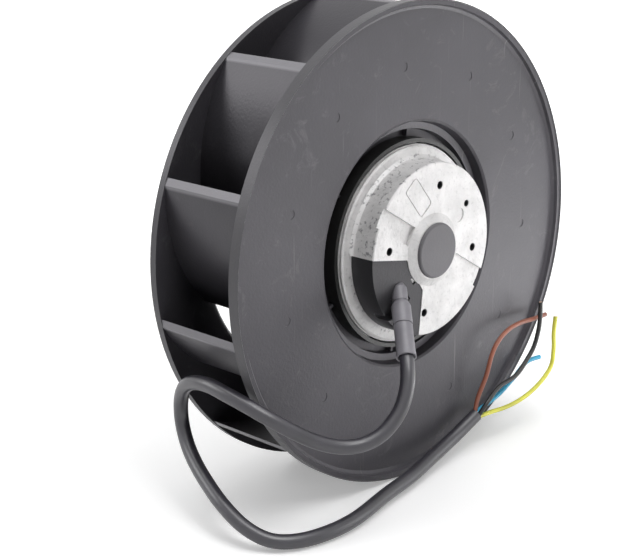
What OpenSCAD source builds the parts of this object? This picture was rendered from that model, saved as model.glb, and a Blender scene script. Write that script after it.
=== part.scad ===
// Motorised plug fan: backward-curved impeller on an external-rotor motor with a cast flange.
// Lengths in millimetres. Origin: centre of the motor flange's mounting face.
// Y runs into the fan, Z is up, X is to the right seen from the motor side.

/* [Impeller] */
// outside diameter of the back plate and of the shroud rim
impeller_d = 220; // [180:1:260]
// how far the raised lip of the back plate sits behind the flange's mounting face
lip_set_back = 10; // [6:0.5:16]
// height of the raised lip above the back plate's face
lip_h = 2.5; // [1:0.5:4]
// width of the raised lip at its top
lip_w = 2.5; // [1:0.5:5]
// thickness of the back plate
plate_t = 2.5; // [1.5:0.1:4]
// clear width between back plate and shroud rim at the outside diameter
outlet_w = 45.3; // [30:0.1:60]
// axial thickness of the shroud rim
rim_t = 3.5; // [2:0.1:6]
// slope of the shroud cone in degrees
cone_angle = 15; // [5:0.5:25]
// inside radius of the inlet collar
eye_r = 70; // [60:0.5:80]
// straight length of the inlet collar
collar_l = 6; // [3:0.5:12]
// wall thickness of the shroud
shroud_t = 2.4; // [1.5:0.1:4]
// width of the open ring in the back plate round the rotor can
recess_gap = 8; // [5:0.5:16]

/* [Blades] */
// number of blades
blade_n = 11; // [7:1:13]
// thickness of a blade
blade_t = 1.6; // [1.2:0.1:3]
// radius of the arc a blade follows
blade_arc_r = 80.5; // [60:0.5:120]
// centre of that arc to the side of the radius through the blade tip
blade_cx = 29.3; // [10:0.1:50]
// centre of that arc along the radius through the blade tip
blade_cy = 35.5; // [10:0.1:60]
// direction of the blade tip seen from the arc's centre
tip_angle = 114; // [100:0.5:125]
// direction of the inner edge seen from the arc's centre
root_angle = 162.5; // [140:0.5:170]
// slope of a blade's outer end face to the tangent of the rim in degrees
tip_slope = 4; // [0:1:40]
// clockwise turn of the first blade from straight up
blade_turn = -35.7; // [-60:0.1:0]

/* [Motor] */
// outside radius of the rotor can
can_r = 48; // [40:0.5:55]
// wall of the rotor can
can_wall = 1.8; // [1:0.1:3]
// distance from the mounting face to the mouth of the can
can_mouth = 14.6; // [14:0.1:24]
// distance from the mounting face to the nose of the can
can_nose = 72; // [50:0.5:90]
// radial width of the rotor laminations
core_ring_w = 9.65; // [6:0.05:14]
// air gap between stator and rotor laminations
air_gap = 0.35; // [0.2:0.05:1]
// length of the lamination stacks
stack_l = 30; // [15:0.5:45]
// number of stator slots
slot_n = 12; // [6:2:24]
// radius of the shaft
shaft_r = 4; // [3:0.5:6]

/* [Flange] */
// clearance between the base ring and the mouth of the can
mouth_gap = 1.4; // [0.6:0.1:3]
// step between the base ring and the mounting face
base_step = 5.4; // [3:0.1:9]
// distance from the mounting face to the base ring
drum_h = 12.7; // [8:0.1:20]
// pitch circle diameter of the mounting holes
bolt_pcd = 58; // [50:0.1:64]
// tapping radius of the four mounting holes
bolt_r = 1.65; // [1.2:0.05:2.5]
// tapping radius of the fifth hole
earth_r = 1.4; // [1:0.05:2]
// height of the bosses round the mounting holes
boss_h = 10; // [6:0.5:12]
// clockwise turn of the first mounting hole from straight up
bolt_turn = 9; // [0:1:90]
// radius of the round cap in the middle
cap_r = 12.6; // [11.5:0.1:18]
// height of the round cap above the mounting face
cap_proud = 3.6; // [1:0.1:6]
// width of the shallow channel across the mounting face
channel_w = 9; // [4:0.5:14]
// depth of that channel
channel_d = 1.5; // [0.5:0.1:3]
// clockwise turn of the channel from straight up
channel_turn = -59; // [-90:1:0]

/* [Cable] */
// outside radius of the cable
cable_r = 3.25; // [2:0.05:5]
// outside radius of a single lead
lead_r = 1.1; // [0.6:0.1:2]

/* [Hidden] */
imp_r = impeller_d / 2;
design_d = 220;
blade_k = impeller_d / design_d;
arc_r = blade_arc_r * blade_k;
recess_r = can_r + recess_gap;
lip_z = -lip_set_back;
plate_z = lip_z - lip_h;
back_z = plate_z - plate_t;
rim_z = back_z - outlet_w;
rim_back_z = rim_z - rim_t;
cone_slope = tan(cone_angle);
neck_r = eye_r + 4;
neck_z = rim_z - (imp_r - neck_r) * cone_slope;
eye_z = neck_z - 4;
eye_end_z = eye_z - collar_l;
lip_fillet = 2;
ledge_in = 1;
ledge_z = plate_z - 5;
floor_z = ledge_z - 4.5;
ledge_r = recess_r - 4;
sleeve_t = 2.5;
sleeve_end_z = -(can_nose - 14);
can_in_r = can_r - can_wall;
can_floor = 2;
stack_z = -30;
stack_end_z = stack_z - stack_l;
rotor_core_r = can_in_r - core_ring_w;
stator_r = rotor_core_r - air_gap;
base_r = can_in_r - mouth_gap;
face_r = base_r - base_step;
tube_r = 13.5;
bearing_r = 11;
bearing_w = 7;
front_bearing_z = -8;
rear_bearing_z = -52;
race_in_r = 6;
race_out_r = 9;
ball_pitch_r = 7.5;
ball_r = 1.95;
ball_n = 7;
groove_r = 2.05;
tube_end_z = -60;
shoulder_r = 9.6;
spring_t = 0.8;
face_t = 4;
drum_wall = 3;
base_t = 3.3;
collar_r = 16.6;
collar_top_r = cap_r + 0.7;
collar_h = 2.2;
mark_r = 0.74 * imp_r;
mark_d = 0.2;
mark_turn = blade_turn - 1.7;
groove_t = 0.7;
panel_mid = [-10.1, 25.4];
panel_turn = -50.6;
panel_l = 17.5;
panel_w = 9.4;
panel_line = 0.5;
panel_d = 0.35;
slot_w = 5.4;
slot_in_r = tube_r + 6.5;
slot_out_r = stator_r - 3.2;
mouth_w = 2;
liner_t = 1;
head_l = 8;
cover_drop = 0.3;
cover_wall = 1.8;
cover_floor = 2;
notch_floor = -7;
arc_fn = 120;
small_fn = 48;
// corners of the cable cover seen from the motor side, before the drum's circle trims them
cover_pts = [[-46, 3.8], [-17, -1.6], [-6, -17.6], [-9, -46], [-46, -46]];
cavity_pts = [[-37, 0.4], [-18.4, -3.2], [-7.8, -18.6], [-10.6, -37], [-37, -37]];
notch_pts = [
    [-20.4, -11.8], [-26.5, -16.2], [-31, -21], [-31, -27], [-17, -27], [-16, -21.3], [-14.2, -19.8]
];
lug_mid = [-11.9, -11.8];
lug_turn = 55;
lug = [2.6, 4, 3];
lug_back = 0.8;
lug_gap = 0.4;
lug_slot_h = 8;
lug_slot_floor = -6;
cap_round = 1;
cap_wall = 1.5;
cap_top = 2;
cap_skirt = 4;
cap_fit = 0.05;
boot_from = [-20.2, -12.7, -2];
boot_to = [-38, -36.9, 18.6];
boot_l = norm(boot_to - boot_from);
boot_bore = 4;
boot_gap = 0.4;
boot_foot = [5.4, 2.6, 7.5];
boot_foot_at = [-24, -19, notch_floor];
cable_play = 0.5;
// steps of the boot from its root to its open end: start, length, first radius and last radius
boot_profile = [
    [0, 2, 2.4, 3.5], [2, 6.6, 3.5, 3.5], [8.4, 1.4, 3.2, 3.2], [9.6, 1.6, 3.7, 4.35],
    [11.2, 9, 4.35, 4.35], [20, 1, 3.95, 3.95], [20.8, boot_l - 23.3, 4.2, 4.2], [boot_l - 2.6, 2.6, 4.2, 4.5]
];
// route of the cable from the boot to the end of its jacket
cable_route = [
    [-36, -16.3, -34.3], [-40.2, -21.1, -40], [-43.5, -24, -46.5], [-48, -25.4, -54], [-53.8, -25, -60.6],
    [-60.3, -22.8, -65.8], [-67.6, -18.9, -68.6], [-75.6, -14.3, -68.2], [-84, -9.2, -64.9],
    [-92, -3.8, -59.6], [-99, 2.8, -53.8], [-103.7, 11.5, -49], [-106, 21.5, -46], [-106, 33, -44.7],
    [-104.2, 44.5, -47], [-101.8, 53, -52], [-99.3, 58.5, -60], [-98.8, 59, -69], [-100.5, 54.5, -77],
    [-103.5, 46, -83.5], [-107.2, 34, -89], [-110.2, 20.5, -94.5], [-109.5, 8, -100.8],
    [-104.5, -2, -105.2], [-95, -9, -106.5], [-80, -12.7, -106.5], [-62, -12.3, -106],
    [-36, -6.5, -105], [-14, -2, -104.5], [6, 2.5, -102.5], [25, 5, -98.5], [41, 5, -92]
];
brown_route = [
    [40.4, 5, -90.5], [43, 5.4, -83.5], [47, 4, -73.5], [51, 4, -63.5], [56, 4, -57.5],
    [64.5, 4.6, -54], [74.5, 5, -53], [85, 5.2, -53.5], [95, 5.2, -53.5]
];
black_route = [
    [41.1, 3.4, -92], [46, 2, -86], [56.5, 3, -81], [69, 2.8, -78.5], [77, 2.5, -72.5],
    [82.5, 2.3, -66.5], [85.5, 2.2, -59], [86.5, 2.2, -52], [86.5, 2.3, -44.5]
];
blue_route = [
    [40.9, 6.6, -92], [45, 6.5, -91], [51.5, 6, -89], [60.5, 6, -86.5], [68, 6, -83],
    [73, 6, -80.5], [82, 6, -75.5], [92.5, 6, -75.5]
];
earth_route = [
    [41.6, 5, -93.5], [52, 5, -93.7], [65.5, 5, -94.5], [78, 5, -93.5], [89, 5, -90.5],
    [97.5, 5, -86], [102, 5, -81], [103, 5, -73], [102.5, 5, -65], [103.5, 5, -56.5]
];

// turns a shape drawn on the fan's axis into the row's frame
module on_axis() {
    rotate([90, 0, 0]) children();
}

// places a shape at a clockwise angle from straight up, at a radius
module at_clock(turn, r) {
    rotate([0, 0, -turn]) translate([0, r, 0]) children();
}

function unit(v) = v / norm(v);
function spline(p, i, t) =
    let (
        a = p[max(i - 1, 0)],
        b = p[i],
        c = p[i + 1],
        d = p[min(i + 2, len(p) - 1)]
    )
    b + 0.5 * t * ((c - a) + t * ((2 * a - 5 * b + 4 * c - d) + t * (3 * (b - c) + d - a)));
function smooth(p, n) = concat(
    [for (i = [0 : len(p) - 2]) for (k = [0 : n - 1]) spline(p, i, k / n)],
    [p[len(p) - 1]]);
function tangents(q) = [for (i = [0 : len(q) - 1]) unit(q[min(i + 1, len(q) - 1)] - q[max(i - 1, 0)])];
function carried(t, i, u) =
    i == len(t) ? [] : let (w = unit(u - (u * t[i]) * t[i])) concat([w], carried(t, i + 1, w));

// a round tube along a route
module tube_along(route, r, sides, steps) {
    q = smooth(route, steps);
    t = tangents(q);
    u = carried(t, 0, [0.1, 1, 0.2]);
    n = len(q);
    rings = [for (i = [0 : n - 1]) for (k = [0 : sides - 1])
        q[i] + r * (cos(360 * k / sides) * u[i] + sin(360 * k / sides) * cross(t[i], u[i]))];
    sides_faces = [for (i = [0 : n - 2]) for (k = [0 : sides - 1])
        [i * sides + k, (i + 1) * sides + k, (i + 1) * sides + (k + 1) % sides, i * sides + (k + 1) % sides]];
    first_cap = [[for (k = [0 : sides - 1]) k]];
    last_cap = [[for (k = [sides - 1 : -1 : 0]) (n - 1) * sides + k]];
    polyhedron(points = rings, faces = concat(sides_faces, first_cap, last_cap));
}

// back plate with its raised lip, the dished opening round the motor and the sleeve on the rotor can
module impeller_backplate() {
    color([0.2, 0.2, 0.21]) on_axis() {
        difference() {
            rotate_extrude($fn = arc_fn) polygon([
                [imp_r, back_z],
                [imp_r, lip_z + 0.6],
                [imp_r - 0.6, lip_z],
                [imp_r - lip_w, lip_z],
                [imp_r - lip_w - lip_fillet * 0.3, plate_z + lip_fillet * 0.5],
                [imp_r - lip_w - lip_fillet, plate_z],
                [recess_r + 1, plate_z],
                [recess_r, plate_z - 0.8],
                [recess_r - ledge_in, ledge_z],
                [ledge_r, ledge_z - 0.5],
                [ledge_r - 0.5, floor_z],
                [can_r, floor_z],
                [can_r, sleeve_end_z],
                [can_r + sleeve_t, sleeve_end_z],
                [can_r + sleeve_t, floor_z - plate_t],
                [ledge_r + 2.2, floor_z - plate_t],
                [recess_r + 1.4, ledge_z - 2.2],
                [recess_r + 2.4, back_z]
            ]);
            for (k = [0 : blade_n - 1]) {
                at_clock(mark_turn + 360 * k / blade_n, mark_r) translate([0, 0, plate_z - mark_d])
                    cylinder(h = 2 * mark_d, r = 2.2, $fn = small_fn);
            }
        }
        for (k = [0 : 5]) {
            at_clock(5 + 60 * k, 0) translate([-0.7, can_r + 0.3, floor_z - 1]) cube([1.4, 3.4, 3.6]);
        }
    }
}

// conical shroud with its rim and inlet collar
module impeller_shroud() {
    color([0.2, 0.2, 0.21]) on_axis() rotate_extrude($fn = arc_fn) polygon([
        [imp_r, rim_z],
        [imp_r, rim_back_z],
        [imp_r - 4, rim_back_z],
        [neck_r + 1.4, neck_z - shroud_t],
        [eye_r + shroud_t + 0.4, eye_z - 1],
        [eye_r + shroud_t, eye_z - 2.5],
        [eye_r + shroud_t, eye_end_z],
        [eye_r, eye_end_z],
        [eye_r, eye_z],
        [eye_r + 0.9, eye_z + 2.2],
        [neck_r - 1.8, neck_z + 0.2 - 0.9],
        [neck_r, neck_z]
    ]);
}

// one backward-curved blade, its shroud edge cut to the cone
module blade(k) {
    tip = (arc_r + blade_t / 2) * [cos(tip_angle), sin(tip_angle)];
    cut = [cos(tip_slope), -sin(tip_slope)];
    color([0.24, 0.24, 0.25]) on_axis() rotate([0, 0, -(blade_turn + 360 * k / blade_n)])
        intersection() {
            translate([blade_cx * blade_k, blade_cy * blade_k, rim_z - 12])
            linear_extrude(outlet_w + 12) intersection() {
                difference() {
                    circle(r = arc_r + blade_t / 2, $fn = arc_fn);
                    circle(r = arc_r - blade_t / 2, $fn = arc_fn);
                }
                polygon([
                    [0, 0],
                    tip + 20 * cut,
                    tip - 20 * cut,
                    [2 * arc_r * cos(root_angle), 2 * arc_r * sin(root_angle)]
                ]);
            }
            rotate_extrude($fn = arc_fn) polygon([
                [neck_r - 1, back_z],
                [imp_r + 3, back_z],
                [imp_r + 3, rim_z + 3 * cone_slope],
                [neck_r - 1, neck_z - cone_slope]
            ]);
        }
}

// deep-drawn rotor can: open towards the flange, closed nose in the inlet
module rotor_can() {
    color([0.07, 0.07, 0.075]) on_axis() rotate_extrude($fn = arc_fn) polygon([
        [can_r, -can_mouth],
        [can_r, 3 - can_nose],
        [can_r - 0.9, 0.9 - can_nose],
        [can_r - 3, -can_nose],
        [shaft_r, -can_nose],
        [shaft_r, 10 - can_nose],
        [shaft_r + 4, 10 - can_nose],
        [shaft_r + 5, can_floor - can_nose],
        [can_in_r - 1.2, can_floor - can_nose],
        [can_in_r, can_floor + 1.2 - can_nose],
        [can_in_r, -can_mouth]
    ]);
}

// rotor laminations pressed into the can
module rotor_core() {
    color([0.35, 0.35, 0.36]) on_axis() translate([0, 0, stack_end_z]) difference() {
        cylinder(h = stack_l, r = can_in_r, $fn = arc_fn);
        translate([0, 0, -1]) cylinder(h = stack_l + 2, r = rotor_core_r, $fn = arc_fn);
    }
}

// short-circuit rings of the rotor cage, one at each end of the laminations
module rotor_cage() {
    color([0.8, 0.8, 0.8]) on_axis() for (z = [stack_z, stack_end_z - 4.5]) {
        translate([0, 0, z]) difference() {
            cylinder(h = 4.5, r = can_in_r - 0.4, $fn = arc_fn);
            translate([0, 0, -1]) cylinder(h = 6.5, r = rotor_core_r + 1.2, $fn = arc_fn);
        }
    }
}

// shaft pressed into the nose of the can, with a groove for the circlip
module shaft() {
    color([0.7, 0.7, 0.72]) on_axis() rotate_extrude($fn = small_fn) polygon([
        [0, -can_nose - 0.6],
        [shaft_r - 0.6, -can_nose - 0.6],
        [shaft_r, -can_nose],
        [shaft_r, front_bearing_z],
        [shaft_r - 0.4, front_bearing_z],
        [shaft_r - 0.4, front_bearing_z + 0.8],
        [shaft_r, front_bearing_z + 0.8],
        [shaft_r, front_bearing_z + 2],
        [shaft_r - 0.5, front_bearing_z + 2.5],
        [0, front_bearing_z + 2.5]
    ]);
}

// open retaining ring in the shaft groove
module shaft_circlip() {
    color([0.3, 0.3, 0.31]) on_axis() translate([0, 0, front_bearing_z]) difference() {
        cylinder(h = 0.8, r = shaft_r + 1.4, $fn = small_fn);
        translate([0, 0, -1]) cylinder(h = 3, r = shaft_r - 0.4, $fn = small_fn);
        translate([-1.2, 0, -1]) cube([2.4, 2 * shaft_r, 3]);
    }
}

// one ring of a deep-groove bearing between two radii, with its ball groove
module bearing_ring(r_in, r_out, z) {
    translate([0, 0, z - bearing_w]) difference() {
        cylinder(h = bearing_w, r = r_out, $fn = small_fn);
        translate([0, 0, -1]) cylinder(h = bearing_w + 2, r = r_in, $fn = small_fn);
        translate([0, 0, bearing_w / 2]) rotate_extrude($fn = small_fn) translate([ball_pitch_r, 0])
            circle(r = groove_r, $fn = small_fn);
    }
}

// inner rings of the two bearings, on the shaft
module bearing_inner_rings() {
    color([0.75, 0.75, 0.77]) on_axis() {
        bearing_ring(shaft_r, race_in_r, front_bearing_z);
        bearing_ring(shaft_r, race_in_r, rear_bearing_z);
    }
}

// outer rings of the two bearings, in the flange's tube
module bearing_outer_rings() {
    color([0.75, 0.75, 0.77]) on_axis() {
        bearing_ring(race_out_r, bearing_r, front_bearing_z);
        bearing_ring(race_out_r, bearing_r, rear_bearing_z);
    }
}

// balls of the two bearings
module bearing_balls() {
    color([0.8, 0.8, 0.82]) on_axis() for (z = [front_bearing_z, rear_bearing_z]) {
        for (k = [0 : ball_n - 1]) {
            at_clock(360 * k / ball_n, ball_pitch_r)
                translate([0, 0, z - bearing_w / 2]) sphere(r = ball_r, $fn = 24);
        }
    }
}

// spring washer between the front outer ring and the shoulder in the tube
module preload_spring() {
    color([0.5, 0.5, 0.52]) on_axis() translate([0, 0, front_bearing_z - bearing_w - spring_t]) difference() {
        cylinder(h = spring_t, r = bearing_r - 0.3, $fn = small_fn);
        translate([0, 0, -1]) cylinder(h = spring_t + 2, r = shoulder_r, $fn = small_fn);
    }
}

// outline of the cable cover inside the drum
module cover_outline() {
    intersection() {
        difference() {
            circle(r = face_r, $fn = arc_fn);
            circle(r = collar_r, $fn = arc_fn);
        }
        polygon(cover_pts);
    }
}

// plain rounded rectangle, drawn flat
module rounded_panel(l, w, r) {
    square([l - 2 * r, w], center = true);
    square([l, w - 2 * r], center = true);
    for (x = [-1, 1]) {
        for (y = [-1, 1]) {
            translate([x * (l / 2 - r), y * (w / 2 - r)]) circle(r = r, $fn = small_fn);
        }
    }
}

// tapped hole through a boss, with a small countersink at the mounting face
module tapped_hole(turn, r) {
    at_clock(turn, bolt_pcd / 2) {
        translate([0, 0, -boss_h - 1]) cylinder(h = boss_h + 2, r = r, $fn = small_fn);
        translate([0, 0, -0.4]) cylinder(h = 0.5, r1 = r, r2 = r + 0.5, $fn = small_fn);
    }
}

// die-cast flange: mounting face, drum, base ring and bearing tube
module motor_flange() {
    color([0.86, 0.86, 0.86]) on_axis() {
        difference() {
            union() {
                rotate_extrude($fn = arc_fn) polygon([
                    [bearing_r, 0],
                    [cap_r, 0],
                    [cap_r, collar_h],
                    [collar_top_r, collar_h],
                    [collar_r, 0],
                    [face_r - 0.5, 0],
                    [face_r, -0.5],
                    [face_r + 0.4, -drum_h + 1.4],
                    [face_r + 1.6, -drum_h],
                    [base_r - 0.8, -drum_h - 0.4],
                    [base_r, -drum_h - 1],
                    [base_r, -drum_h - 1.6],
                    [base_r - 1.2, -drum_h - 1.6],
                    [base_r - 1.2, -drum_h - 1.6 - groove_t],
                    [base_r + 0.6, -drum_h - 1.6 - groove_t],
                    [base_r + 0.6, -drum_h - base_t],
                    [face_r - drum_wall, -drum_h - base_t],
                    [face_r - drum_wall, -face_t],
                    [tube_r + 1, -face_t],
                    [tube_r, -face_t - 1],
                    [tube_r, tube_end_z],
                    [bearing_r, tube_end_z],
                    [bearing_r, rear_bearing_z],
                    [shoulder_r, rear_bearing_z],
                    [shoulder_r, front_bearing_z - bearing_w - spring_t],
                    [bearing_r, front_bearing_z - bearing_w - spring_t]
                ]);
                for (k = [0 : 3]) {
                    at_clock(bolt_turn + 90 * k, bolt_pcd / 2) translate([0, 0, -boss_h])
                        cylinder(h = boss_h - face_t + 0.5, r = 4.2, $fn = small_fn);
                }
                at_clock(bolt_turn + 45, bolt_pcd / 2) translate([0, 0, -boss_h])
                    cylinder(h = boss_h - face_t + 0.5, r = 3.8, $fn = small_fn);
            }
            for (k = [0 : 3]) {
                tapped_hole(bolt_turn + 90 * k, bolt_r);
            }
            tapped_hole(bolt_turn + 45, earth_r);
            at_clock(55, 22) translate([0, 0, -0.4]) cylinder(h = 1, r = 3.4, $fn = small_fn);
            for (turn = [channel_turn, channel_turn + 180]) {
                at_clock(turn, collar_r) translate([-channel_w / 2, 0, -channel_d])
                    cube([channel_w, face_r, channel_d + 1]);
            }
            translate([panel_mid[0], panel_mid[1], -panel_d]) rotate([0, 0, panel_turn])
            linear_extrude(1) difference() {
                rounded_panel(panel_l, panel_w, 1.6);
                rounded_panel(panel_l - 2 * panel_line, panel_w - 2 * panel_line, 1.1);
            }
            translate([0, 0, -drum_h]) linear_extrude(drum_h + 4) intersection() {
                difference() {
                    circle(r = face_r + 4, $fn = arc_fn);
                    circle(r = collar_r, $fn = arc_fn);
                }
                polygon(cover_pts);
            }
        }
        translate([lug_mid[0], lug_mid[1], -face_t]) rotate([0, 0, -lug_turn])
            translate([-lug[0] / 2, -lug_back, 0]) cube(lug);
    }
}

// pattern of the stator slots, with their narrow mouths
module slot_pattern(grow) {
    for (k = [0 : slot_n - 1]) {
        rotate([0, 0, 360 * k / slot_n]) {
            translate([slot_in_r - grow, -slot_w / 2 - grow])
                square([slot_out_r - slot_in_r + 2 * grow, slot_w + 2 * grow]);
        }
    }
}

// stator laminations on the flange's tube
module stator_core() {
    color([0.42, 0.42, 0.43]) on_axis() translate([0, 0, stack_end_z]) linear_extrude(stack_l) difference() {
        circle(r = stator_r, $fn = arc_fn);
        circle(r = tube_r, $fn = arc_fn);
        slot_pattern(0);
        for (k = [0 : slot_n - 1]) {
            rotate([0, 0, 360 * k / slot_n])
                translate([slot_out_r - 1, -mouth_w / 2]) square([stator_r, mouth_w]);
        }
    }
}

// insulating end plates on both faces of the stator laminations
module stator_liners() {
    color([0.85, 0.84, 0.78]) on_axis() for (z = [stack_z, stack_end_z - liner_t]) {
        translate([0, 0, z]) linear_extrude(liner_t) difference() {
            circle(r = stator_r - 0.5, $fn = arc_fn);
            circle(r = tube_r, $fn = arc_fn);
            slot_pattern(0);
        }
    }
}

// copper winding: bars through the slots and a head at each end
module stator_winding() {
    color([0.72, 0.4, 0.2]) on_axis() {
        translate([0, 0, stack_end_z - liner_t - 0.5])
            linear_extrude(stack_l + 2 * liner_t + 1) slot_pattern(-0.4);
        for (z = [stack_z + liner_t, stack_end_z - liner_t - head_l + 1]) {
            translate([0, 0, z]) difference() {
                cylinder(h = head_l - 1, r = slot_out_r, $fn = arc_fn);
                translate([0, 0, -1]) cylinder(h = head_l + 1, r = slot_in_r, $fn = arc_fn);
            }
        }
    }
}

// round plug over the end of the shaft
module end_cap() {
    color([0.38, 0.38, 0.39]) on_axis() rotate_extrude($fn = arc_fn) polygon([
        [0, cap_proud],
        [cap_r - cap_round, cap_proud],
        [cap_r - 0.3 * cap_round, cap_proud - 0.3 * cap_round],
        [cap_r, cap_proud - cap_round],
        [cap_r, 0],
        [bearing_r - cap_fit, 0],
        [bearing_r - cap_fit, -cap_skirt],
        [bearing_r - cap_wall, -cap_skirt],
        [bearing_r - cap_wall, cap_proud - cap_top],
        [0, cap_proud - cap_top]
    ]);
}

// places its children on the boot's own axis, from its root to its open end
module along_boot() {
    run = boot_to - boot_from;
    translate(boot_from) rotate([0, acos(run[2] / boot_l), atan2(run[1], run[0])]) children();
}

// stepped bush that guides the cable out of the cover
module boot_steps(grow) {
    along_boot() for (step = boot_profile) translate([0, 0, step[0]])
        cylinder(h = step[1], r1 = step[2] + grow, r2 = step[3] + grow, $fn = small_fn);
}

// cover over the connections, with the notch for the boot and the slot for the lug
module cable_cover() {
    color([0.36, 0.36, 0.37]) on_axis() difference() {
        translate([0, 0, -drum_h]) linear_extrude(drum_h - cover_drop) cover_outline();
        translate([0, 0, -drum_h - 1])
        linear_extrude(drum_h + 1 + notch_floor - cover_floor - cover_drop) intersection() {
            circle(r = face_r - cover_wall, $fn = arc_fn);
            polygon(cavity_pts);
        }
        translate([0, 0, notch_floor]) linear_extrude(drum_h) polygon(notch_pts);
        boot_steps(boot_gap);
        translate([lug_mid[0], lug_mid[1], lug_slot_floor]) rotate([0, 0, -lug_turn])
            translate([-lug[0] / 2 - lug_gap, -lug_back - 2 * lug_gap, 0])
                cube([lug[0] + 2 * lug_gap, lug[1], lug_slot_h]);
    }
}

// strain-relief boot with a foot on the floor of the cover's notch
module cable_boot() {
    color([0.12, 0.12, 0.125]) on_axis() difference() {
        union() {
            boot_steps(0);
            translate(boot_foot_at) cube(boot_foot);
        }
        along_boot() translate([0, 0, boot_l - boot_bore])
            cylinder(h = boot_bore + 1, r = cable_r + cable_play, $fn = small_fn);
    }
}

// supply cable from the boot to the end of its jacket
module cable() {
    color([0.05, 0.05, 0.05]) tube_along(cable_route, cable_r, 10, 2);
}

// brown lead
module lead_brown() {
    color([0.35, 0.2, 0.12]) tube_along(brown_route, lead_r, 8, 1);
}

// black lead
module lead_black() {
    color([0.06, 0.06, 0.06]) tube_along(black_route, lead_r, 8, 1);
}

// blue lead
module lead_blue() {
    color([0.1, 0.25, 0.65]) tube_along(blue_route, lead_r, 8, 1);
}

// green and yellow earth lead
module lead_earth() {
    color([0.8, 0.75, 0.1]) tube_along(earth_route, lead_r, 8, 1);
}

impeller_backplate();
impeller_shroud();
blade(0);  // blade_1
blade(1);  // blade_2
blade(2);  // blade_3
blade(3);  // blade_4
blade(4);  // blade_5
blade(5);  // blade_6
blade(6);  // blade_7
blade(7);  // blade_8
blade(8);  // blade_9
blade(9);  // blade_10
blade(10);  // blade_11
rotor_can();
rotor_core();
rotor_cage();
shaft();
shaft_circlip();
bearing_inner_rings();
bearing_balls();
bearing_outer_rings();
preload_spring();
motor_flange();
stator_core();
stator_liners();
stator_winding();
end_cap();
cable_cover();
cable_boot();
cable();
lead_brown();
lead_black();
lead_blue();
lead_earth();
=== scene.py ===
import bpy
import math
from mathutils import Matrix, Vector


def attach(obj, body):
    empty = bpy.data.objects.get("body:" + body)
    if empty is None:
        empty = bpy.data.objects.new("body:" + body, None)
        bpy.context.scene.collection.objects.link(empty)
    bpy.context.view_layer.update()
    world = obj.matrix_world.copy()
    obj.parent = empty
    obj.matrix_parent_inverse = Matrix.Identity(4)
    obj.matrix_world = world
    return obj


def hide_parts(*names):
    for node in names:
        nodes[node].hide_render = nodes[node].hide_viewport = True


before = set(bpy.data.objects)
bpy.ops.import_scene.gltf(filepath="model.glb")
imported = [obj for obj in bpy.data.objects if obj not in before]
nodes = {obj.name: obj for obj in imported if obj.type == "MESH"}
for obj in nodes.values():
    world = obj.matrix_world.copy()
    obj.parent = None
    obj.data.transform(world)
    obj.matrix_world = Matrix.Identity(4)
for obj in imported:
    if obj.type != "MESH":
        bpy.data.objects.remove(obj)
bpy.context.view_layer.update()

# CAMERA
# Stands to the left of the motor side and a little above the axis, as the photograph does.
# The 90 mm lens on a 36 mm sensor is the fit to the two rims and the flange circle.
camera_data = bpy.data.cameras.new("camera")
camera_data.sensor_fit = "HORIZONTAL"
camera_data.sensor_width = 36
camera_data.lens = 90
camera_data.clip_start = 0.01
camera = bpy.data.objects.new("camera", camera_data)
bpy.context.scene.collection.objects.link(camera)
camera.matrix_world = Matrix((
    (0.6953, 0.2049, -0.6889, -0.5295),
    (-0.7187, 0.1982, -0.6665, -0.4425),
    (0.0, 0.9585, 0.2851, 0.1907),
    (0, 0, 0, 1),
))
bpy.context.scene.camera = camera


# SUPPLY CABLE AND LEADS
# The cable leaves the boot, goes round the impeller's left side, comes back along the table
# and ends beside the impeller, where its four leads fan out. Routes are those of the solids, in mm.
def cord_curve(name, route, diameter):
    data = bpy.data.curves.new(name, "CURVE")
    data.dimensions = "3D"
    data.bevel_depth = diameter / 2
    data.bevel_resolution = 6
    data.resolution_u = 8
    data.use_fill_caps = True
    points = [Vector(p) / 1000 for p in route]
    spline = data.splines.new("BEZIER")
    spline.bezier_points.add(len(points) - 1)
    for i, p in enumerate(points):
        step = (points[min(i + 1, len(points) - 1)] - points[max(i - 1, 0)]) / 6
        knot = spline.bezier_points[i]
        knot.handle_left_type = "FREE"
        knot.handle_right_type = "FREE"
        knot.co = p
        knot.handle_left = p - step
        knot.handle_right = p + step
    piece = bpy.data.objects.new(name, data)
    bpy.context.scene.collection.objects.link(piece)
    # the length is summed over short steps of each Bezier span
    steps = 24
    fine = []
    for a, d in zip(spline.bezier_points[:-1], spline.bezier_points[1:]):
        for k in range(steps):
            t = k / steps
            fine.append(a.co * (1 - t) ** 3 + 3 * a.handle_right * t * (1 - t) ** 2
                        + 3 * d.handle_left * t * t * (1 - t) + d.co * t ** 3)
    fine.append(points[-1])
    length = sum((q - p).length for p, q in zip(fine, fine[1:]))
    return piece, length


def object_place(tree):
    return tree.nodes.new("ShaderNodeTexCoord").outputs["Object"]


def noise(tree, place, scale, detail):
    texture = tree.nodes.new("ShaderNodeTexNoise")
    texture.inputs["Scale"].default_value = scale
    texture.inputs["Detail"].default_value = detail
    tree.links.new(place, texture.inputs["Vector"])
    return texture.outputs["Fac"]


# turns a value between start and end into one between low and high
def ramp(tree, value, start=0, end=1, low=0, high=1):
    spread = tree.nodes.new("ShaderNodeMapRange")
    spread.inputs["From Min"].default_value = start
    spread.inputs["From Max"].default_value = end
    spread.inputs["To Min"].default_value = low
    spread.inputs["To Max"].default_value = high
    tree.links.new(value, spread.inputs["Value"])
    return spread.outputs["Result"]


def join(tree, operation, first, second):
    both = tree.nodes.new("ShaderNodeMath")
    both.operation = operation
    tree.links.new(first, both.inputs[0])
    tree.links.new(second, both.inputs[1])
    return both.outputs["Value"]


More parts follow.
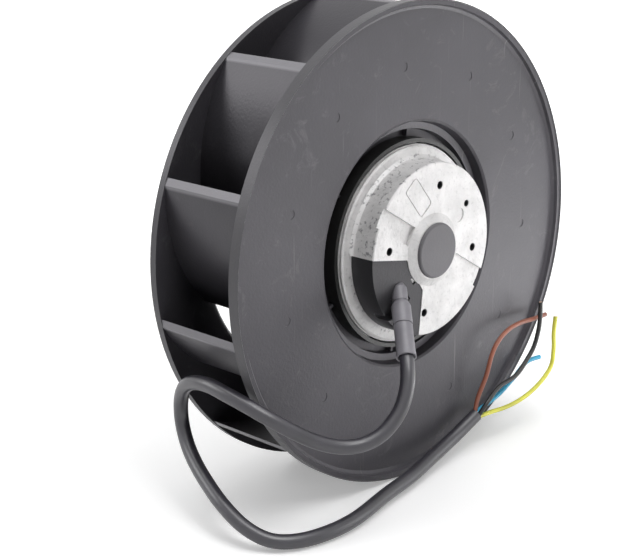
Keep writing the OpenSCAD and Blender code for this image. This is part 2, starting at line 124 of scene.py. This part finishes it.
def gap_to(tree, place, point):
    gap = tree.nodes.new("ShaderNodeVectorMath")
    gap.operation = "DISTANCE"
    gap.inputs[1].default_value = point
    tree.links.new(place, gap.inputs[0])
    return gap.outputs["Value"]


# lays a colour over the base colour that is there, where the share is 1
def paint_over(tree, share, colour):
    base = tree.nodes["Principled BSDF"].inputs["Base Color"]
    layer = tree.nodes.new("ShaderNodeMix")
    layer.data_type = "RGBA"
    layer.inputs["B"].default_value = (*colour, 1)
    tree.links.new(share, layer.inputs["Factor"])
    tree.links.new(base.links[0].from_socket, layer.inputs["A"])
    tree.links.new(layer.outputs["Result"], base)


# a surface with two tones of one colour in patches, a gloss that follows them, and a fine grain
def skin(name, colour, rough, patch_scale, patch_detail, tones, tone_ends, gloss_play,
         grain_scale, grain_detail, grain_strength, grain_depth):
    mat = bpy.data.materials.new(name)
    mat.use_nodes = True
    tree = mat.node_tree
    bsdf = tree.nodes["Principled BSDF"]
    place = object_place(tree)
    patches = noise(tree, place, patch_scale, patch_detail)
    tint = tree.nodes.new("ShaderNodeValToRGB")
    for stop, tone, end in zip(tint.color_ramp.elements, tones, tone_ends):
        stop.position = end
        stop.color = [min(1, c * tone) for c in colour] + [1]
    tree.links.new(patches, tint.inputs["Fac"])
    tree.links.new(tint.outputs["Color"], bsdf.inputs["Base Color"])
    gloss = ramp(tree, patches, low=rough - gloss_play, high=rough + gloss_play)
    tree.links.new(gloss, bsdf.inputs["Roughness"])
    bump = tree.nodes.new("ShaderNodeBump")
    bump.inputs["Strength"].default_value = grain_strength
    bump.inputs["Distance"].default_value = grain_depth
    tree.links.new(noise(tree, place, grain_scale, grain_detail), bump.inputs["Height"])
    tree.links.new(bump.outputs["Normal"], bsdf.inputs["Normal"])
    return mat


def soft_skin(name, colour, rough):
    return skin(name, colour, rough, patch_scale=60, patch_detail=4, tones=(0.8, 1.2),
                tone_ends=(0.3, 0.7), gloss_play=0.08, grain_scale=1800, grain_detail=2,
                grain_strength=0.25, grain_depth=0.0001)


cable_d = 0.0065
cable_route = [
    (-36, -16.3, -34.3), (-40.2, -21.1, -40), (-43.5, -24, -46.5), (-48, -25.4, -54), (-53.8, -25, -60.6),
    (-60.3, -22.8, -65.8), (-67.6, -18.9, -68.6), (-75.6, -14.3, -68.2), (-84, -9.2, -64.9),
    (-92, -3.8, -59.6), (-99, 2.8, -53.8), (-103.7, 11.5, -49), (-106, 21.5, -46), (-106, 33, -44.7),
    (-104.2, 44.5, -47), (-101.8, 53, -52), (-99.3, 58.5, -60), (-98.8, 59, -69), (-100.5, 54.5, -77),
    (-103.5, 46, -83.5), (-107.2, 34, -89), (-110.2, 20.5, -94.5), (-109.5, 8, -100.8),
    (-104.5, -2, -105.2), (-95, -9, -106.5), (-80, -12.7, -106.5), (-62, -12.3, -106),
    (-36, -6.5, -105), (-14, -2, -104.5), (6, 2.5, -102.5), (25, 5, -98.5), (41, 5, -92),
]
cable, cable_length = cord_curve("supply_cable", cable_route, cable_d)
jacket = soft_skin("jacket", (0.036, 0.034, 0.043), 0.36)
jacket.node_tree.nodes["Principled BSDF"].inputs["Specular IOR Level"].default_value = 0.8
cable.data.materials.append(jacket)
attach(cable, "stator")
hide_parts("cable")

lead_d = 0.0022
lead_routes = {
    "brown": [(40.4, 5, -90.5), (43, 5.4, -83.5), (47, 4, -73.5), (51, 4, -63.5), (56, 4, -57.5),
              (64.5, 4.6, -54), (74.5, 5, -53), (85, 5.2, -53.5), (95, 5.2, -53.5)],
    "black": [(41.1, 3.4, -92), (46, 2, -86), (56.5, 3, -81), (69, 2.8, -78.5), (77, 2.5, -72.5),
              (82.5, 2.3, -66.5), (85.5, 2.2, -59), (86.5, 2.2, -52), (86.5, 2.3, -44.5)],
    "blue": [(40.9, 6.6, -92), (45, 6.5, -91), (51.5, 6, -89), (60.5, 6, -86.5), (68, 6, -83),
             (73, 6, -80.5), (82, 6, -75.5), (92.5, 6, -75.5)],
    "earth": [(41.6, 5, -93.5), (52, 5, -93.7), (65.5, 5, -94.5), (78, 5, -93.5), (89, 5, -90.5),
              (97.5, 5, -86), (102, 5, -81), (103, 5, -73), (102.5, 5, -65), (103.5, 5, -56.5)],
}
lead_colours = {
    "brown": (0.3, 0.1, 0.06),
    "black": (0.012, 0.012, 0.012),
    "blue": (0.035, 0.4, 0.64),
    "earth": (0.83, 0.8, 0.1),
}
strand_copper = (0.72, 0.5, 0.38)
strand_r = 0.0007
strand_fade_r = 0.00085
for colour, route in lead_routes.items():
    lead, lead_length = cord_curve("single_lead_" + colour, route, lead_d)
    insulation = soft_skin("insulation_" + colour, lead_colours[colour], 0.38)
    # the cut end shows its copper strands
    tree = insulation.node_tree
    tip_gap = gap_to(tree, object_place(tree), [c / 1000 for c in route[-1]])
    paint_over(tree, ramp(tree, tip_gap, strand_fade_r, strand_r), strand_copper)
    lead.data.materials.append(insulation)
    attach(lead, "stator")
    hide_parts("lead_" + colour)


# IMPELLER
# Back plate, shroud and blades are one dark grey moulded plastic with a fine eroded grain,
# faint flow marks and a few pale scuffs; the blades get a darker copy of it, painted shade of the
# passages. The solids keep their shape.
def moulded(name, colour, rough, scuff):
    mat = skin(name, colour, rough, patch_scale=14, patch_detail=6, tones=(0.78, 1.25),
               tone_ends=(0.3, 0.7), gloss_play=0.07, grain_scale=850, grain_detail=4,
               grain_strength=0.55, grain_depth=0.00015)
    tree = mat.node_tree
    bsdf = tree.nodes["Principled BSDF"]
    bsdf.inputs["Specular IOR Level"].default_value = 0.4
    bsdf.inputs["Specular Tint"].default_value = (0.97, 0.94, 1, 1)
    # thin scratches that all run one way
    place = object_place(tree)
    stretch = tree.nodes.new("ShaderNodeMapping")
    stretch.inputs["Rotation"].default_value = (0.3, 0.9, 0.5)
    stretch.inputs["Scale"].default_value = (900, 60, 14)
    tree.links.new(place, stretch.inputs["Vector"])
    streak = noise(tree, stretch.outputs["Vector"], scale=1, detail=2)
    scratches = ramp(tree, streak, 0.71, 0.8, high=scuff)
    # broad smears from handling
    smear = tree.nodes.new("ShaderNodeTexNoise")
    smear.inputs["Scale"].default_value = 55
    smear.inputs["Detail"].default_value = 9
    smear.inputs["Roughness"].default_value = 0.75
    smear.inputs["Distortion"].default_value = 1.5
    tree.links.new(place, smear.inputs["Vector"])
    smears = ramp(tree, smear.outputs["Fac"], 0.57, 0.75, high=scuff / 2)
    paint_over(tree, join(tree, "MAXIMUM", scratches, smears), (0.3, 0.3, 0.3))
    return mat


# distance from the fan's axis, which runs along Y
def axis_radius(tree, place):
    flat = tree.nodes.new("ShaderNodeVectorMath")
    flat.operation = "MULTIPLY"
    flat.inputs[1].default_value = (1, 0, 1)
    tree.links.new(place, flat.inputs[0])
    reach = tree.nodes.new("ShaderNodeVectorMath")
    reach.operation = "LENGTH"
    tree.links.new(flat.outputs["Vector"], reach.inputs[0])
    return reach.outputs["Value"]


def dress(name, mat):
    nodes[name].data.materials.clear()
    nodes[name].data.materials.append(mat)


plate_plastic = moulded("plate_plastic", (0.057, 0.0545, 0.062), 0.4, 0.45)
# the blades' copy is darker than the plate's: painted shade of the passages between them
blade_plastic = moulded("blade_plastic", (0.045, 0.043, 0.049), 0.36, 0.1)
# the edges along the rim circle are turned and painted paler than the faces: partly the turned surface's
# own tone, partly a painted highlight
edge_from_r, edge_full_r = 0.1091, 0.1095
for mat, grey in [(plate_plastic, 0.065), (blade_plastic, 0.2)]:
    tree = mat.node_tree
    turned_edge_and_highlight = ramp(tree, axis_radius(tree, object_place(tree)), edge_from_r, edge_full_r)
    paint_over(tree, turned_edge_and_highlight, (grey, grey * 0.98, grey * 1.05))
dress("impeller_backplate", plate_plastic)
dress("impeller_shroud", plate_plastic)
blade_count = 11
for k in range(1, blade_count + 1):
    dress("blade_%d" % k, blade_plastic)


# ROTOR AND SHAFT
# Black painted can, grey laminations, cast aluminium cage rings and bright steel turned parts.
# The stator's laminations are the same sheet steel as the rotor's.
def metal(name, colour, rough, metallic, pit_scale, pit_depth):
    mat = skin(name, colour, rough, patch_scale=90, patch_detail=8, tones=(0.85, 1.08),
               tone_ends=(0.35, 0.65), gloss_play=0.1, grain_scale=pit_scale, grain_detail=4,
               grain_strength=0.5, grain_depth=pit_depth)
    mat.node_tree.nodes["Principled BSDF"].inputs["Metallic"].default_value = metallic
    return mat


black_steel = metal("black_steel", (0.012, 0.012, 0.012), 0.42, 0.0, 700, 0.0002)
laminations = metal("laminations", (0.3, 0.3, 0.31), 0.5, 0.9, 900, 0.0002)
cage_metal = metal("cage_metal", (0.75, 0.75, 0.76), 0.35, 0.9, 500, 0.0003)
bright_steel = metal("bright_steel", (0.62, 0.62, 0.64), 0.28, 1.0, 1200, 0.0001)
for name, mat in {
    "rotor_can": black_steel,
    "rotor_core": laminations,
    "rotor_cage": cage_metal,
    "shaft": bright_steel,
    "shaft_circlip": black_steel,
    "bearing_inner_rings": bright_steel,
    "bearing_balls": bright_steel,
    "bearing_outer_rings": bright_steel,
    "preload_spring": bright_steel,
    "stator_core": laminations,
}.items():
    dress(name, mat)

# MOTOR FLANGE AND STATOR
# Pale die-cast aluminium with a shot, slightly pitted skin, and painted shade on the walls of its five
# holes;
# copper winding and cream liners inside.
cast_metal = metal("cast_metal", (0.7, 0.69, 0.69), 0.5, 0.2, 650, 0.0005)
tree = cast_metal.node_tree
place = object_place(tree)
# dark pores, dense on the drum's side wall and sparse elsewhere
radius = axis_radius(tree, place)
drum_inner = ramp(tree, radius, 0.0388, 0.0394)
drum_outer = ramp(tree, radius, 0.0415, 0.0408)
on_drum = join(tree, "MULTIPLY", drum_inner, drum_outer)
pores = ramp(tree, noise(tree, place, scale=520, detail=5), 0.56, 0.66)
pore_share = join(tree, "MULTIPLY", pores, ramp(tree, on_drum, low=0.18, high=0.75))
paint_over(tree, pore_share, (0.16, 0.16, 0.17))
# the four bolt holes lie on one circle, a quarter turn apart, so one corner of the face stands for all
bolt_circle_r = 0.029
bolt_turn = math.radians(9)
bolt_frame = tree.nodes.new("ShaderNodeVectorRotate")
bolt_frame.rotation_type = "Y_AXIS"
bolt_frame.inputs["Angle"].default_value = -bolt_turn
tree.links.new(place, bolt_frame.inputs["Vector"])
folded = tree.nodes.new("ShaderNodeVectorMath")
folded.operation = "ABSOLUTE"
tree.links.new(bolt_frame.outputs["Vector"], folded.inputs[0])
corner = tree.nodes.new("ShaderNodeSeparateXYZ")
tree.links.new(folded.outputs["Vector"], corner.inputs["Vector"])
bolt_place = tree.nodes.new("ShaderNodeCombineXYZ")
tree.links.new(join(tree, "MAXIMUM", corner.outputs["X"], corner.outputs["Z"]), bolt_place.inputs["X"])
tree.links.new(join(tree, "MINIMUM", corner.outputs["X"], corner.outputs["Z"]), bolt_place.inputs["Y"])
bolt_gap = gap_to(tree, bolt_place.outputs["Vector"], (bolt_circle_r, 0, 0))
bolt_hole_shade = ramp(tree, bolt_gap, 0.0019, 0.00172)
# the fifth hole is smaller and stands by itself
fifth_hole = (0.02346, 0.01705, 0)
face = tree.nodes.new("ShaderNodeSeparateXYZ")
tree.links.new(place, face.inputs["Vector"])
fifth_place = tree.nodes.new("ShaderNodeCombineXYZ")
tree.links.new(face.outputs["X"], fifth_place.inputs["X"])
tree.links.new(face.outputs["Z"], fifth_place.inputs["Y"])
fifth_gap = gap_to(tree, fifth_place.outputs["Vector"], fifth_hole)
fifth_hole_shade = ramp(tree, fifth_gap, 0.00165, 0.00145)
# the walls of the five holes are painted near-black: painted shade inside the holes
paint_over(tree, join(tree, "MAXIMUM", bolt_hole_shade, fifth_hole_shade), (0.02, 0.02, 0.022))
copper = metal("copper", (0.6, 0.27, 0.12), 0.4, 0.8, 900, 0.0003)
liner_plastic = soft_skin("liner_plastic", (0.7, 0.68, 0.58), 0.5)
dress("motor_flange", cast_metal)
dress("stator_winding", copper)
dress("stator_liners", liner_plastic)

# CAP, COVER AND BOOT
# Dark grey moulded plastic cap and cover on the flange, the cover the darker of the two,
# and the softer grey boot of the cable.
cover_plastic = moulded("cover_plastic", (0.03, 0.0295, 0.032), 0.42, 0.15)
cover_plastic.node_tree.nodes["Principled BSDF"].inputs["Specular IOR Level"].default_value = 0.25
cap_plastic = moulded("cap_plastic", (0.12, 0.117, 0.124), 0.5, 0.15)
boot_rubber = soft_skin("boot_rubber", (0.22, 0.213, 0.236), 0.4)
dress("end_cap", cap_plastic)
dress("cable_cover", cover_plastic)
dress("cable_boot", boot_rubber)


# FLOOR AND LIGHT
# White floor and surroundings, which are bright only to rays that look at them. A large top light
# leaves the passages in the shroud's shade, one at the left back reaches the blade faces, one at the
# left front the drum, a low one at the right the flange, and a pool on the floor gives the plate sheen.
def looked_at(tree):
    rays = tree.nodes.new("ShaderNodeLightPath").outputs
    direct = join(tree, "MAXIMUM", rays["Is Camera Ray"], rays["Is Glossy Ray"])
    return join(tree, "MAXIMUM", direct, rays["Is Transmission Ray"])


floor_z = -0.1103
floor_reach = 8
floor_mesh = bpy.data.meshes.new("floor")
floor_mesh.from_pydata([
    (-floor_reach, -floor_reach, floor_z), (floor_reach, -floor_reach, floor_z),
    (floor_reach, floor_reach, floor_z), (-floor_reach, floor_reach, floor_z),
], [], [(0, 1, 2, 3)])
floor = bpy.data.objects.new("floor", floor_mesh)
bpy.context.scene.collection.objects.link(floor)
paper = bpy.data.materials.new("floor_white")
paper.use_nodes = True
tree = paper.node_tree
bsdf = tree.nodes["Principled BSDF"]
bsdf.inputs["Base Color"].default_value = (0.9, 0.9, 0.9, 1)
bsdf.inputs["Roughness"].default_value = 0.4
bsdf.inputs["Emission Color"].default_value = (1, 1, 1, 1)
place = object_place(tree)
# the glow grows away from the camera, and all round at a distance
depth = tree.nodes.new("ShaderNodeVectorMath")
depth.operation = "DOT_PRODUCT"
depth.inputs[1].default_value = (0.707, 0.707, 0)
tree.links.new(place, depth.inputs[0])
back_glow = ramp(tree, depth.outputs["Value"], 0.3, 1, low=0.32)
far_glow = ramp(tree, gap_to(tree, place, (0, 0, 0)), 1.2, 2.4)
glow = join(tree, "MAXIMUM", back_glow, far_glow)
tree.links.new(join(tree, "MULTIPLY", glow, looked_at(tree)), bsdf.inputs["Emission Strength"])
floor_mesh.materials.append(paper)
world = bpy.data.worlds.new("world")
bpy.context.scene.world = world
world.use_nodes = True
tree = world.node_tree
sky = tree.nodes["Background"]
sky.inputs["Color"].default_value = (1, 1, 1, 1)
tree.links.new(ramp(tree, looked_at(tree), low=0.08), sky.inputs["Strength"])
fan_middle = Vector((0, 0.03, 0))
for name, place, size, power in [
    ("top", (0.05, 0.0, 1.5), 1.4, 17),
    ("left_back", (-0.85, 0.97, 0.66), 0.7, 6),
    ("left_front", (-0.2, -0.6, 1.05), 0.5, 5),
    ("right_panel", (0.75, -0.75, 0.1), 0.6, 2),
]:
    lamp = bpy.data.lights.new(name, "AREA")
    lamp.energy = power
    lamp.size = size
    lamp_obj = bpy.data.objects.new(name, lamp)
    bpy.context.scene.collection.objects.link(lamp_obj)
    lamp_obj.location = place
    lamp_obj.rotation_euler = (fan_middle - Vector(place)).to_track_quat("-Z", "Y").to_euler()
pool = bpy.data.lights.new("floor_pool", "SPOT")
pool.energy = 190
pool.spot_size = math.radians(24)
pool.spot_blend = 0.6
pool.shadow_soft_size = 0.08
pool_obj = bpy.data.objects.new("floor_pool", pool)
bpy.context.scene.collection.objects.link(pool_obj)
pool_obj.location = (0.3, -0.17, 0.9)
bpy.context.scene.view_settings.view_transform = "Standard"
